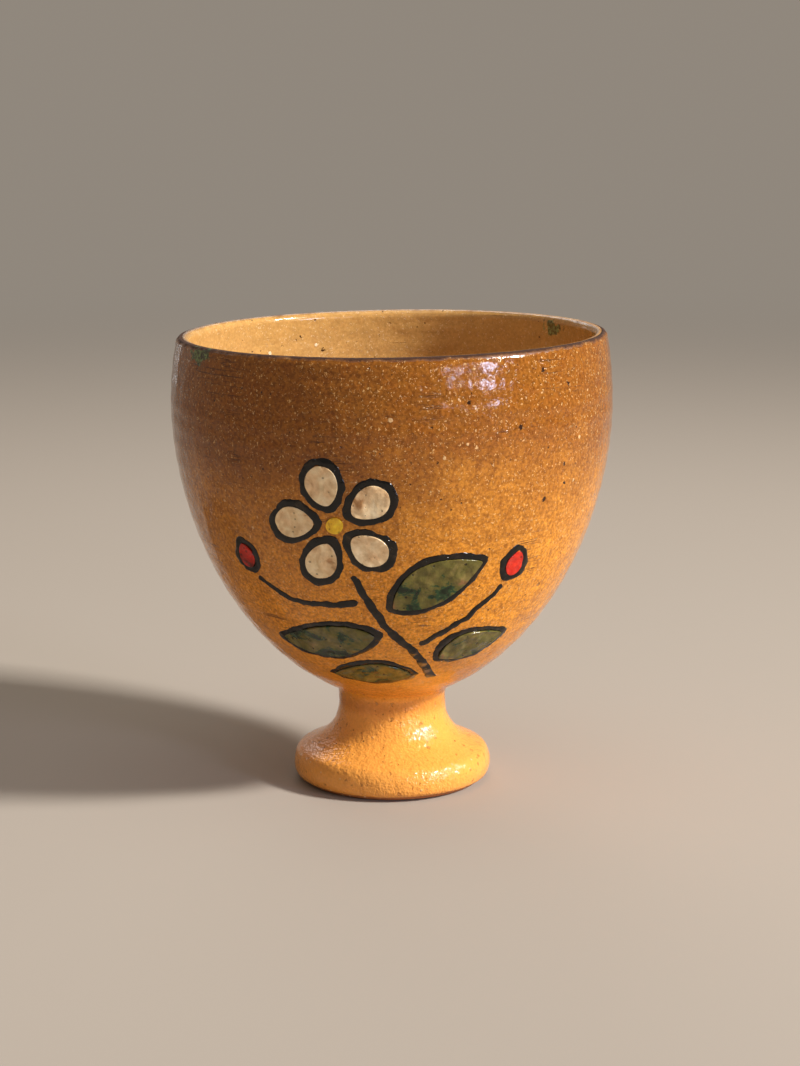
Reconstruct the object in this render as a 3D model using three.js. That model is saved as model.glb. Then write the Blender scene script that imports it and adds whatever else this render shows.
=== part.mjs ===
// A hand-thrown stoneware wine cup. A deep egg-shaped bowl is joined with slip to a short stem
// and foot, which were thrown in one piece and turned hollow underneath. One coat of glaze covers
// the outside down to a wiped line above the foot ring, and a liner glaze seals the inside. A flower
// sprig stands on the front: each motif is a trailed line with a pool of coloured glaze inside it.
// Millimetres, +Z up. The origin is the centre of the foot ring, on the table; -Y is the front.
import * as THREE from "three";

// Bowl, in bare clay. Its outside and its inside are each one egg curve, turned about the Z axis.
const bellyRadius = 47.6; // widest of the outside
const bellyAbovePole = 66; // from the bowl's lowest point up to where it is widest
const lipAboveBelly = 14.6; // from there up to the crest of the lip
const eggFullness = 1.9; // 2 is an ellipse, less is leaner between the belly and the pole
const wallAtBelly = 3.1;
const lipThickness = 2.1;
const floorThickness = 6; // at the centre of the bowl
const lipWander = 0.65; // a thrown lip is never quite level
const lipHighSide = THREE.MathUtils.degToRad(80); // round from the front

// Throwing spiral: the groove that the fingers leave as they open the floor from its centre.
const floorTurn = 0.57; // where the inside turns from wall to floor, as a share of the quarter egg
const spiralPitch = 8.5;
const spiralDepth = 0.35; // from crest to groove

// Stem and foot, in bare clay.
const stemTop = 18.2; // lowest point of the dished seat on top of the stem
const neckRadius = 11.45;
const neckStraight = 1.6; // the neck runs straight for this far below the fillet
const footRadius = 21.6; // widest of the rolled edge
const rollHeight = 3.4; // height of its widest
const rollUndercut = 2.6; // how far it draws in from there to the foot ring
const rollRise = 3.6; // how far it would go on up to a level top
const rollNose = 2.4; // how far it would draw in over that
const footSlope = THREE.MathUtils.degToRad(22); // of the foot's upper side, where it meets the roll
const footRingWidth = 4.8; // flat that stands on the table
const hollowCrown = 6.2; // clay left between the turned hollow and the top of the stem

// Slip joint. Both faces are scored with rings, and the slip between them is pressed out.
const slipThickness = 0.8;
const scoreRings = 3;
const scoreDepth = 0.35;
const filletDrop = 1.6; // down the neck
const filletRun = 2.2; // out along the bowl

// Glaze.
const glazeThickness = 0.4;
const wipedHeight = 1; // the glaze is wiped off the foot below this

// Trailed decoration, drawn flat for a field of this height, from the fillet up to the belly. Its
// places are shares of that height, round from the front and up from the belly. It fills the field
// of any other bowl alike.
const drawnField = 78;
const seatGap = 0.12; // the decoration's flat facets clear the round bowl by this
const lineWidth = 2.1;
const lineRelief = 0.45;
const lineShoulder = 0.28; // share of a line's width that slopes, on each side
const lineTaper = 0.35; // share of its width that a stalk loses along its run
const tipReach = 1.5; // a line reaches this many times its half width past a pointed tip
const poolRelief = 0.25;
const poolGap = 0.15; // between a pool of glaze and the line round it
const motifGap = 0.45; // between one motif and the next
const stalkWidth = 2.3;
const twigWidth = 1.7;
const leafLength = 24;
const leafWidth = 11;
const lowLeafScale = 0.78; // the two leaves near the stem are smaller
const leafBow = 0.05; // how far a leaf bows sideways, as a share of its length
const petals = 5;
const petalLength = 10.5;
const petalWidth = 8;
const flowerCentreRadius = 1.8;
const budLength = 8;
const budWidth = 5.2;

// Where it all stands. Headings are degrees round from the right, and stalkShare is how far up the
// stalk a twig or leaf leaves it.
const flowerAt = [-0.154, -0.256];
const stalkArrives = THREE.MathUtils.degToRad(-73); // seen from the flower
const stalkRoute = [[0.115, -0.846], [0.071, -0.718], [-0.013, -0.596]]; // and on to the flower
const rightTwigGrows = { stalkShare: 0.37, route: [[0.199, -0.577], [0.321, -0.462]], budHeading: 62 };
const leftTwigGrows = { stalkShare: 0.8, route: [[-0.256, -0.517], [-0.404, -0.449]], budHeading: 118 };
const leavesGrow = [
  { stalkShare: 0.7, heading: 30, scale: 1, bow: leafBow },
  { stalkShare: 0.52, heading: 188, scale: 1, bow: leafBow },
  { stalkShare: 0.22, heading: 20, scale: lowLeafScale, bow: leafBow },
  { stalkShare: 0.08, heading: 183, scale: lowLeafScale, bow: -leafBow },
];

// Outlines. pointed is how sharp the tips are, and fullBase how far the widest lies to the base.
const leafOutline = { pointed: 0.7, fullBase: 0.22 };
const petalOutline = { pointed: 0.15, fullBase: -0.2 };
const budOutline = { pointed: 0.35, fullBase: 0.15 };
const poolTip = 0.96; // a pool's tips are cut blunt at this share of its half length

// Fineness of the facets.
const turns = 32; // flats round the axis
const wallSteps = 10; // along the outside, fillet to belly
const insideSteps = 5; // along the inside, belly to the floor's turn
const spiralSteps = 10; // from there to the centre of the floor
const shoulderSteps = 3; // belly to lip
const lipSteps = 6;
const rollSteps = 3;
const cavettoSteps = 4;
const filletSteps = 3;
const hollowSteps = 4;
const loopSteps = 16; // round a motif
const poolRows = 6; // along a motif
const poolColumns = 4; // across a motif
const stalkSteps = 12;
const fieldSteps = 200; // places tried for the end of the decoration's field

const poleHeight = stemTop + slipThickness;
const bellyHeight = poleHeight + bellyAbovePole;
const lipHeight = bellyHeight + lipAboveBelly;
const floorHeight = poleHeight + floorThickness;
const lipCentreHeight = lipHeight - lipThickness / 2;
const mix = THREE.MathUtils.lerp;
const steps = (count, make) => Array.from({ length: count + 1 }, (_, i) => make(i / count, i));

// A point of a profile. spiral is how much of the throwing spiral it shows.
const point = (r, z, spiral = 0) => Object.assign(new THREE.Vector2(r, z), { spiral });

// The lower part of an egg, from its widest down to its pole, as radius against height.
class EggCurve extends THREE.Curve {
  constructor(radius, depth) {
    super();
    this.radius = radius;
    this.depth = depth;
  }

  getPoint(t, target = new THREE.Vector2()) {
    const angle = (t * Math.PI) / 2;
    const power = 2 / eggFullness;
    return target.set(
      this.radius * Math.max(Math.cos(angle), 0) ** power,
      bellyHeight - this.depth * Math.sin(angle) ** power,
    );
  }

  // Where along the curve it has this radius.
  turnAtRadius(radius) {
    return (2 / Math.PI) * Math.acos((radius / this.radius) ** (eggFullness / 2));
  }

  heightAt(radius) {
    return this.getPoint(this.turnAtRadius(radius)).y;
  }

  // The egg goes on above its widest, towards the lip, as it does below.
  radiusAt(height) {
    const share = Math.abs(height - bellyHeight) / this.depth;
    return this.radius * (1 - share ** eggFullness) ** (1 / eggFullness);
  }
}

const outside = new EggCurve(bellyRadius, bellyAbovePole);
const inside = new EggCurve(bellyRadius - wallAtBelly, bellyHeight - floorHeight);

// Points along an ellipse, both ends included. Its centre and its half axes are [radius, height].
function arc({ centre, half }, fromDegrees, toDegrees, count) {
  return steps(count, (t) => {
    const angle = THREE.MathUtils.degToRad(mix(fromDegrees, toDegrees, t));
    return point(centre[0] + half[0] * Math.cos(angle), centre[1] + half[1] * Math.sin(angle));
  });
}

// A scored face of the joint, from the axis out to the neck.
function scoredFace(drop, cut) {
  const ringPitch = neckRadius / (scoreRings + 0.5);
  const rings = steps(2 * scoreRings, (t, i) => {
    const radius = (i * ringPitch) / 2;
    return point(radius, outside.heightAt(radius) - drop + (i % 2) * cut);
  });
  return [...rings, point(neckRadius, outside.heightAt(neckRadius) - drop)];
}

// Profiles. Each runs the way that keeps the clay on its left: outwards underneath, up the
// outside, over the lip, and down the inside to the centre of the floor.
const bowlFace = scoredFace(0, scoreDepth);
const stemFace = scoredFace(slipThickness, -scoreDepth);
const filletFoot = stemFace.at(-1).y - filletDrop;
const filletRadius = neckRadius + filletRun;
const neckFoot = filletFoot - neckStraight;
const wipedDegrees = THREE.MathUtils.radToDeg(Math.asin(wipedHeight / rollHeight - 1));

const footRingRadius = footRadius - rollUndercut;
const hollowSide = { centre: [0, 0], half: [footRingRadius - footRingWidth, stemTop - hollowCrown] };
const rollUnder = { centre: [footRingRadius, rollHeight], half: [rollUndercut, rollHeight] };
const rollOver = { centre: [footRadius - rollNose, rollHeight], half: [rollNose, rollRise] };
const rollEnd = THREE.MathUtils.radToDeg(Math.atan2(rollRise, rollNose * Math.tan(footSlope)));

const hollow = arc(hollowSide, 90, 0, hollowSteps);
const bareEdge = arc(rollUnder, -90, wipedDegrees, 2);
const roll = [...arc(rollUnder, wipedDegrees, 0, 2), ...arc(rollOver, 0, rollEnd, rollSteps).slice(1)];

// A cavetto sweeps from the foot's sloping upper side into the upright neck.
const sweepRise = Math.tan(footSlope) * (roll.at(-1).x - neckRadius);
const cavetto = new THREE.QuadraticBezierCurve(
  roll.at(-1),
  point(neckRadius, roll.at(-1).y + sweepRise),
  point(neckRadius, neckFoot),
).getPoints(cavettoSteps).map(({ x, y }) => point(x, y));
const foot = [...roll, ...cavetto.slice(1)];

// The fillet leaves the neck upright and runs out along the bowl's own slope.
const filletTop = outside.heightAt(filletRadius);
const bowlSlope = outside.getTangent(outside.turnAtRadius(filletRadius));
const fillet = new THREE.QuadraticBezierCurve(
  point(neckRadius, filletFoot),
  point(neckRadius, filletTop - (filletRun * bowlSlope.y) / bowlSlope.x),
  point(filletRadius, filletTop),
).getPoints(filletSteps).map(({ x, y }) => point(x, y));

const outerWall = [
  ...steps(wallSteps, (t) => outside.getPoint(outside.turnAtRadius(filletRadius) * (1 - t))),
  ...steps(shoulderSteps, (t) => {
    const height = mix(bellyHeight, lipCentreHeight, t);
    return point(outside.radiusAt(height), height);
  }).slice(1),
].map(({ x, y }) => point(x, y));
const lipRound = {
  centre: [outerWall.at(-1).x - lipThickness / 2, lipCentreHeight],
  half: [lipThickness / 2, lipThickness / 2],
};
const lip = arc(lipRound, 0, 180, lipSteps);
const innerWall = [
  ...steps(shoulderSteps, (t) => {
    const height = mix(lipCentreHeight, bellyHeight, t);
    return point(outside.radiusAt(height) - mix(lipThickness, wallAtBelly, t), height);
  }),
  ...steps(insideSteps, (t) => inside.getPoint(t * floorTurn)).slice(1, -1),
].map(({ x, y }) => point(x, y));
const floor = steps(spiralSteps, (t) => {
  const radius = inside.getPoint(floorTurn).x * (1 - t);
  return point(radius, inside.heightAt(radius), Math.sqrt(Math.sin(Math.PI * t)));
});

// All that is glazed, from the wiped line over the lip to the centre of the floor.
const outsideGlazed = [...foot, ...fillet, ...outerWall.slice(1), ...lip.slice(1, lipSteps / 2 + 1)];
const glazed = [...outsideGlazed, ...lip.slice(lipSteps / 2 + 1, -1), ...innerWall, ...floor];
const crest = outsideGlazed.length - 1;

// The same points moved out of the clay by the thickness of the glaze.
const coated = glazed.map((at, i) => {
  const before = glazed[i - 1] ?? at;
  const after = glazed[i + 1] ?? point(-before.x, before.y);
  const along = after.clone().sub(before).normalize();
  return point(at.x + along.y * glazeThickness, at.y - along.x * glazeThickness, at.spiral);
});

// Turns a profile about the Z axis, with the wander of the lip and the spiral of the floor.
function turned(profile) {
  const geometry = new THREE.LatheGeometry(profile, turns);
  const position = geometry.attributes.position;
  for (let i = 0; i < position.count; i++) {
    const angle = (Math.floor(i / profile.length) / turns) * 2 * Math.PI;
    const { x: radius, y: height, spiral } = profile[i % profile.length];
    const wander = lipWander * THREE.MathUtils.smoothstep(height, bellyHeight, lipHeight);
    const groove = (spiral * spiralDepth * Math.cos((2 * Math.PI * radius) / spiralPitch - angle)) / 2;
    position.setY(i, height + wander * Math.cos(angle - lipHighSide) + groove);
  }
  // The wander bends the quads, and pieces that touch share them, so a quad is split the same way
  // whichever way the profile runs.
  const index = geometry.index.array;
  for (let i = 0; i < index.length; i += 6) {
    const [a, b, d, c] = index.slice(i, i + 4);
    const from = profile[a % profile.length];
    const to = profile[d % profile.length];
    if ((from.x - to.x || from.y - to.y) > 0) index.set([a, b, c, a, c, d], i);
  }
  return geometry.rotateX(Math.PI / 2);
}

// The field for the decoration, as a share of the wall from belly to pole. Arc lengths aren't even
// along the curve's own parameter, so the share is found where the wall has come in to the fillet.
const shares = steps(fieldSteps, (share) => share);
const fieldShare = shares.find((share) => outside.getPointAt(share).x < filletRadius);

// A place in the drawing, brought onto the glazed bowl and so far out of it.
function onBowl({ x, y }, out = 0) {
  const drawingScale = (fieldShare * outside.getLength()) / drawnField;
  const along = (-y / drawnField) * fieldShare;
  const { x: radius, y: height } = outside.getPointAt(along);
  const tangent = outside.getTangentAt(along);
  const lift = glazeThickness + seatGap + out;
  const reach = radius - tangent.y * lift;
  const angle = (x * drawingScale) / radius;
  return new THREE.Vector3(reach * Math.sin(angle), -reach * Math.cos(angle), height + tangent.x * lift);
}

// A closed solid through rings of points. It runs on from the last ring to the first, or is capped.
function throughRings(rings, endless) {
  const size = rings[0].length;
  const corner = (i, j) => (i % rings.length) * size + (j % size);
  const index = [];
  for (let i = 0; i < rings.length - (endless ? 0 : 1); i++) {
    for (let j = 0; j < size; j++) {
      index.push(corner(i, j), corner(i + 1, j), corner(i + 1, j + 1));
      index.push(corner(i, j), corner(i + 1, j + 1), corner(i, j + 1));
    }
  }
  for (let j = 1; j < size - 1 && !endless; j++) {
    index.push(corner(0, 0), corner(0, j), corner(0, j + 1));
    index.push(corner(rings.length - 1, 0), corner(rings.length - 1, j + 1), corner(rings.length - 1, j));
  }
  const geometry = new THREE.BufferGeometry().setFromPoints(rings.flat());
  geometry.setIndex(index);
  geometry.computeVertexNormals();
  return geometry;
}

// The section of a trailed line between two places on the bowl: sloped sides and a flat top.
function lineSection(left, right) {
  const across = (share) => left.clone().lerp(right, share);
  return [
    onBowl(left),
    onBowl(across(lineShoulder), lineRelief),
    onBowl(across(1 - lineShoulder), lineRelief),
    onBowl(right),
  ];
}

// A place given as shares of the field.
const placed = ([x, y]) => new THREE.Vector2(x, y).multiplyScalar(drawnField);

// A line along a curve, drawn out thin at its far end.
function trailedLine(curve, width) {
  return throughRings(steps(stalkSteps, (t) => {
    const at = curve.getPointAt(t);
    const half = (width / 2) * (1 - lineTaper * t);
    const side = curve.getTangentAt(t).rotateAround(new THREE.Vector2(), Math.PI / 2).multiplyScalar(half);
    return lineSection(at.clone().sub(side), at.clone().add(side));
  }), false);
}

// A leaf, petal or bud: centre, heading, length and width of its outline, how pointed its tips are,
// how far its widest lies towards its base, and how far its middle bows sideways.
class Motif {
  constructor({ centre, heading, length, width, pointed, fullBase = 0, bow = 0 }) {
    Object.assign(this, { centre, heading, length, width, pointed, fullBase, bow });
  }

  // A place on the motif. along and across run from -1 to 1; grow widens the outline on each side.
  at(along, across, grow) {
    const halfWidth = (this.width / 2 + grow) * (1 - along ** 2) ** ((1 + this.pointed) / 2);
    const sideways = across * halfWidth * (1 - this.fullBase * along) + this.bow * (1 - along ** 2);
    return new THREE.Vector2(along * (this.length / 2 + grow * tipReach), sideways)
      .rotateAround(new THREE.Vector2(), this.heading)
      .add(this.centre);
  }

  line() {
    const rings = steps(loopSteps - 1, (t, i) => {
      const angle = (2 * Math.PI * i) / loopSteps;
      const side = Math.sign(i) * Math.sign(loopSteps / 2 - i);
      const edge = (grow) => this.at(Math.cos(angle), side, grow);
      return lineSection(edge(lineWidth / 2), edge(-lineWidth / 2));
    });
    return throughRings(rings, true);
  }

  pool() {
    const grow = -lineWidth / 2 - poolGap;
    const rings = steps(poolRows, (t) => {
      const along = -poolTip * Math.cos(Math.PI * t);
      const row = (out) => steps(poolColumns, (s) => onBowl(this.at(along, mix(-1, 1, s), grow), out));
      return [...row(poolRelief), ...row(0).reverse()];
    });
    return throughRings(rings, false);
  }
}

// A motif that grows from a place.
function growing(from, degrees, stalkHalf, shape) {
  const heading = THREE.MathUtils.degToRad(degrees);
  const reach = stalkHalf + motifGap + (lineWidth / 2) * tipReach + shape.length / 2;
  const centre = new THREE.Vector2(Math.cos(heading), Math.sin(heading)).multiplyScalar(reach).add(from);
  return new Motif({ ...shape, centre, heading });
}

// Petals stand far enough out to clear each other and the flower's centre.
const petalReach = petalLength / 2 + (lineWidth / 2) * tipReach;
const petalOut = Math.max(
  (petalWidth + lineWidth + motifGap) / 2 / Math.sin(Math.PI / petals),
  flowerCentreRadius + motifGap + petalReach,
);
const flowerPlace = placed(flowerAt);
const fromFlower = (distance, heading) =>
  new THREE.Vector2(Math.cos(heading), Math.sin(heading)).multiplyScalar(distance).add(flowerPlace);
const flower = steps(petals - 1, (t, i) => {
  const heading = stalkArrives + (2 * Math.PI * (i + 0.5)) / petals;
  const centre = fromFlower(petalOut, heading);
  return new Motif({ ...petalOutline, centre, heading, length: petalLength, width: petalWidth });
});
const flowerCentre = new Motif({
  centre: flowerPlace,
  heading: 0,
  length: 2 * (flowerCentreRadius + (lineWidth / 2 + poolGap) * tipReach),
  width: 2 * (flowerCentreRadius + lineWidth / 2 + poolGap),
  pointed: 0,
});

// The stalk ends between two petals, outside where they come closest.
const stalkEnd = fromFlower(petalOut + petalReach / 2, stalkArrives);
const stalk = new THREE.SplineCurve([...stalkRoute.map(placed), stalkEnd]);

// A twig leaves the stalk towards the first place of its route.
function twig({ stalkShare, route }) {
  const places = route.map(placed);
  const joint = stalk.getPointAt(stalkShare);
  const away = places[0].clone().sub(joint).setLength(stalkWidth / 2 + motifGap + twigWidth / 2);
  return new THREE.SplineCurve([joint.add(away), ...places]);
}

const rightTwig = twig(rightTwigGrows);
const leftTwig = twig(leftTwigGrows);
const budShape = { ...budOutline, length: budLength, width: budWidth };
const buds = [
  growing(rightTwig.points.at(-1), rightTwigGrows.budHeading, 0, budShape),
  growing(leftTwig.points.at(-1), leftTwigGrows.budHeading, 0, budShape),
];
const leaves = leavesGrow.map(({ stalkShare, heading, scale, bow }) => {
  const length = leafLength * scale;
  const shape = { ...leafOutline, length, width: leafWidth * scale, bow: bow * length };
  return growing(stalk.getPointAt(stalkShare), heading, stalkWidth / 2, shape);
});

const cup = new THREE.Group();

function material(color, roughness) {
  return new THREE.MeshStandardMaterial({ color, roughness, metalness: 0 });
}

const clay = material("#c98a55", 0.85);
const slip = material("#c08050", 0.85);
const amberGlaze = material("#a9692f", 0.15);
const linerGlaze = material("#c0935c", 0.2);
const darkLine = material("#1d120c", 0.35);
const oliveGlaze = material("#6a6330", 0.25);
const creamGlaze = material("#d9c3a0", 0.25);
const redGlaze = material("#b0241a", 0.25);
const yellowGlaze = material("#d0a23a", 0.25);

function add(name, geometry, finish) {
  const mesh = new THREE.Mesh(geometry, finish);
  mesh.name = name;
  cup.add(mesh);
}

add("bowl", turned([...bowlFace, ...outerWall, ...lip.slice(1, -1), ...innerWall, ...floor]), clay);
add("pedestal", turned([
  ...hollow,
  ...bareEdge,
  ...foot.slice(1),
  fillet[0],
  ...stemFace.toReversed(),
]), clay);
add("slip_joint", turned([...stemFace, ...fillet, ...bowlFace.toReversed()]), slip);
add("outer_glaze", turned([
  ...coated.slice(0, crest + 1),
  ...glazed.slice(0, crest + 1).reverse(),
  coated[0],
]), amberGlaze);
add("liner_glaze", turned([...glazed.slice(crest).reverse(), ...coated.slice(crest)]), linerGlaze);

add("stalk_line", trailedLine(stalk, stalkWidth), darkLine);
add("right_twig_line", trailedLine(rightTwig, twigWidth), darkLine);
add("left_twig_line", trailedLine(leftTwig, twigWidth), darkLine);
add("flower_centre", flowerCentre.pool(), yellowGlaze);
for (const [name, motifs, finish] of [
  ["leaf", leaves, oliveGlaze],
  ["petal", flower, creamGlaze],
  ["bud", buds, redGlaze],
]) {
  motifs.forEach((motif, i) => {
    add(`${name}_line_${i + 1}`, motif.line(), darkLine);
    add(`${name}_glaze_${i + 1}`, motif.pool(), finish);
  });
}

export default cup;
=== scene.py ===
import math
from functools import partial

import bpy
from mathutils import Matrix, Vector


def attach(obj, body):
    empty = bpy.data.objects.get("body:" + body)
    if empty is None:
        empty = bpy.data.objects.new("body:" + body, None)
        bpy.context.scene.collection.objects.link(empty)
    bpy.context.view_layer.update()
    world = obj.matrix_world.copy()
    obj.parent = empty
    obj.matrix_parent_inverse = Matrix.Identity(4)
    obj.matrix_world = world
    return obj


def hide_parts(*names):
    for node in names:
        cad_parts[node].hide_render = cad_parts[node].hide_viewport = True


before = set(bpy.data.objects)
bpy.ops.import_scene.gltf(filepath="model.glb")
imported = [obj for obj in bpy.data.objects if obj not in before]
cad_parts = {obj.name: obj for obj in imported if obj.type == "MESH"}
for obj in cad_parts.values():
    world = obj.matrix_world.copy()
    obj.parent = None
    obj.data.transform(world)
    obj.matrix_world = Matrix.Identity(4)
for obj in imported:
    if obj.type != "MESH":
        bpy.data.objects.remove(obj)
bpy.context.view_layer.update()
mm = 0.001
print("frame loaded:", len(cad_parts), "nodes")


def linearColour(hexCode):
    # sRGB hex to the linear RGBA that Blender's sockets want
    parts = [int(hexCode[i:i + 2], 16) / 255 for i in (1, 3, 5)]
    return tuple(c / 12.92 if c <= 0.04045 else ((c + 0.055) / 1.055) ** 2.4 for c in parts) + (1,)


def perMetre(size):
    # the scale that gives a texture this size in mm
    return 1000 / size


def addNode(tree, kind, inputs=None, **settings):
    # inputs: socket name or index -> value, output socket, or node, which stands for its first live
    # output. By index, Map Range has value, from, from, to, to, and Mix has factor 0, colours 6 and 7.
    node = tree.nodes.new(kind)
    for name, value in settings.items():
        setattr(node, name, value)
    for key, value in (inputs or {}).items():
        if isinstance(value, bpy.types.Node):
            value = next(socket for socket in value.outputs if socket.enabled)
        if isinstance(value, bpy.types.NodeSocket):
            tree.links.new(value, node.inputs[key])
        else:
            node.inputs[key].default_value = value
    return node


def fillRamp(ramp, stops):
    # stops: (place, hex) pairs in rising order
    elements = ramp.color_ramp.elements
    while len(elements) < len(stops):
        elements.new(0.5)
    for element, (place, hexCode) in zip(elements, stops):
        element.position = place
        element.color = linearColour(hexCode)


def newMaterial(name):
    # the material, the function that adds a node to it, and the place on the piece
    material = bpy.data.materials.new(name)
    material.use_nodes = True
    material.node_tree.nodes.clear()
    add = partial(addNode, material.node_tree)
    return material, add, add("ShaderNodeTexCoord").outputs["Object"]


def specks(add, where, spacing, least, most, soft, strength=1.0):
    # specks at this mean distance in mm; their radii and their soft edge are shares of it
    cells = add("ShaderNodeTexVoronoi", {"Vector": where, "Scale": perMetre(spacing)})
    chance = add("ShaderNodeSeparateColor", {0: cells.outputs["Color"]})
    radius = add("ShaderNodeMapRange", {0: chance, 3: least, 4: most})
    depth = add("ShaderNodeMath", {0: radius, 1: cells.outputs["Distance"]}, operation="SUBTRACT")
    return add("ShaderNodeMapRange", {0: depth, 2: soft, 4: strength})


def layered(add, colour, raised, layers):
    # layers: (share, hex, relief), each laid over the colour and added to the relief
    for share, hexCode, relief in layers:
        colour = add("ShaderNodeMix", {0: share, 6: colour, 7: linearColour(hexCode)}, data_type="RGBA")
        raised = add("ShaderNodeMath", {0: share, 1: relief, 2: raised}, operation="MULTIPLY_ADD")
    return colour, raised


def endMaterial(add, colour, raised, relief, roughness, ior):
    # raised is worth this relief in mm where it is 1
    bump = add("ShaderNodeBump", {"Height": raised, "Distance": relief * mm, "Strength": 1.0})
    shader = add("ShaderNodeBsdfPrincipled", {"Base Color": colour, "Normal": bump,
                                              "Roughness": roughness, "IOR": ior})
    add("ShaderNodeOutputMaterial", {0: shader})


def newTree(name, sockets):
    # a Geometry Nodes tree with these named inputs, after the geometry itself
    tree = bpy.data.node_groups.new(name, "GeometryNodeTree")
    for label, kind in [("Geometry", "Geometry")] + sockets:
        tree.interface.new_socket(label, in_out="INPUT", socket_type="NodeSocket" + kind)
    tree.interface.new_socket("Geometry", in_out="OUTPUT", socket_type="NodeSocketGeometry")
    add = partial(addNode, tree)
    return tree, add, add("NodeGroupInput").outputs


def endTree(add, geometry, finish):
    # every tree ends alike: shaded smooth, its instances realised and its finish set
    smooth = add("GeometryNodeSetShadeSmooth", {"Geometry": geometry})
    real = add("GeometryNodeRealizeInstances", {0: smooth})
    painted = add("GeometryNodeSetMaterial", {0: real, "Material": finish})
    add("NodeGroupOutput", {0: painted})


def roundTheCup(add, reach, bearing, height):
    # the point this far from the axis; bearings go round from the front, which is -Y, towards +X
    sine = add("ShaderNodeMath", {0: bearing}, operation="SINE")
    cosine = add("ShaderNodeMath", {0: bearing}, operation="COSINE")
    side = add("ShaderNodeMath", {0: reach, 1: sine}, operation="MULTIPLY")
    back = add("ShaderNodeMath", {0: reach, 1: cosine}, operation="MULTIPLY")
    front = add("ShaderNodeMath", {0: back, 1: -1.0}, operation="MULTIPLY")
    return add("ShaderNodeCombineXYZ", {0: side, 1: front, 2: height})


def grow(piece, tree, values):
    # runs the tree on the piece and keeps the result as a plain mesh
    modifier = piece.modifiers.new(tree.name, "NODES")
    modifier.node_group = tree
    for item in tree.interface.items_tree:
        if item.in_out == "INPUT" and item.name in values:
            modifier[item.identifier] = values[item.name]
    depsgraph = bpy.context.evaluated_depsgraph_get()
    grown = bpy.data.meshes.new_from_object(piece.evaluated_get(depsgraph), depsgraph=depsgraph)
    piece.modifiers.clear()
    grown.name = piece.name
    piece.data = grown
    return piece


def newPiece(name, points, edges=(), faces=(), attributes=None):
    mesh = bpy.data.meshes.new(name)
    mesh.from_pydata(points, edges, faces)
    for label, values in (attributes or {}).items():
        mesh.attributes.new(label, "FLOAT", "POINT").data.foreach_set("value", values)
    piece = bpy.data.objects.new(name, mesh)
    bpy.context.scene.collection.objects.link(piece)
    return piece


def handIn(piece, node):
    # the cup is one body, and every piece stands for the CAD node that it refines
    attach(piece, "root")
    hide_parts(node)


# Both coats are a clear amber glass over grogged stoneware: the grain, the pale grog and the dark
# iron of the clay show through it. It is honey where it lies thick and brown where it is thin; the
# outside's bands also hold painted light on the foot and painted shade over the upper bowl.
# Sizes and heights are in mm. A band is (share of 100 mm up the cup, colour), a noise is (size,
# detail, roughness), the clouds move the bands by half of cloudShift, and the grain multiplies the
# colour by its least to its most.
outsideLook = {
    "name": "amberGlaze",
    # the bands: brightest on the foot as painted light, and darker towards the lip partly as painted shade
    "bands": [(0.0, "#F0A148"), (0.15, "#EEA146"), (0.23, "#E29530"), (0.42, "#E2962A"),
              (0.62, "#C9862E"), (0.80, "#8C561B"), (0.95, "#8A561C")],
    "noises": {"clouds": (22, 4.0, 0.5), "mottle": (2.6, 6.0, 0.7), "grain": (0.7, 3.0, 0.65)},
    "cloudShift": 14, "grain": ((0.68, 0.57, 0.45, 1), (1.32, 1.26, 1.15, 1)),
    "grit": "#F8C880", "gritShare": 0.52, "mottle": "#7A3A0C", "mottleShare": 0.35,
    "line": "#4E280A", "lineShare": 0.75,
    "grog": "#EEC488", "grogShare": 0.6, "iron": "#26130A", "scorchedFrom": (38, 62),
    # the lip colour is painted shade along the crest
    # the pool colour also paints shade in the crease at the neck
    "pool": "#A65818", "lip": "#30180B", "lipFrom": 99.15, "lipRough": 1.0,
    "smudge": (-39.9, -24.7, 97.8), "smudgeReach": 4.2,
    "roughness": 0.09, "relief": 1.0,
}
insideLook = {
    "name": "linerGlaze",
    "bands": [(0.25, "#AE834C"), (0.5, "#BA8E54"), (0.8, "#CA9C60"), (0.97, "#C59655")],
    "noises": {"clouds": (26, 4.0, 0.5), "mottle": (2.8, 6.0, 0.7), "grain": (0.7, 3.0, 0.65)},
    "cloudShift": 14, "grain": ((0.84, 0.78, 0.72, 1), (1.10, 1.08, 1.03, 1)),
    "grit": "#FFE6B8", "gritShare": 0.3, "mottle": "#93703E", "mottleShare": 0.3,
    "line": "#7A4C1F", "lineShare": 0.6,
    "grog": "#FBE6C0", "grogShare": 0.55, "iron": "#331B0C", "scorchedFrom": (30, 50),
    # the lip colour is painted shade along the crest
    "pool": "#A8783C", "lip": "#7A4C24", "lipFrom": 99.6, "lipRough": 0.6,
    "smudge": (36.8, 24.6, 98.0), "smudgeReach": 3.6,
    "roughness": 0.12, "relief": 0.8,
}
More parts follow.
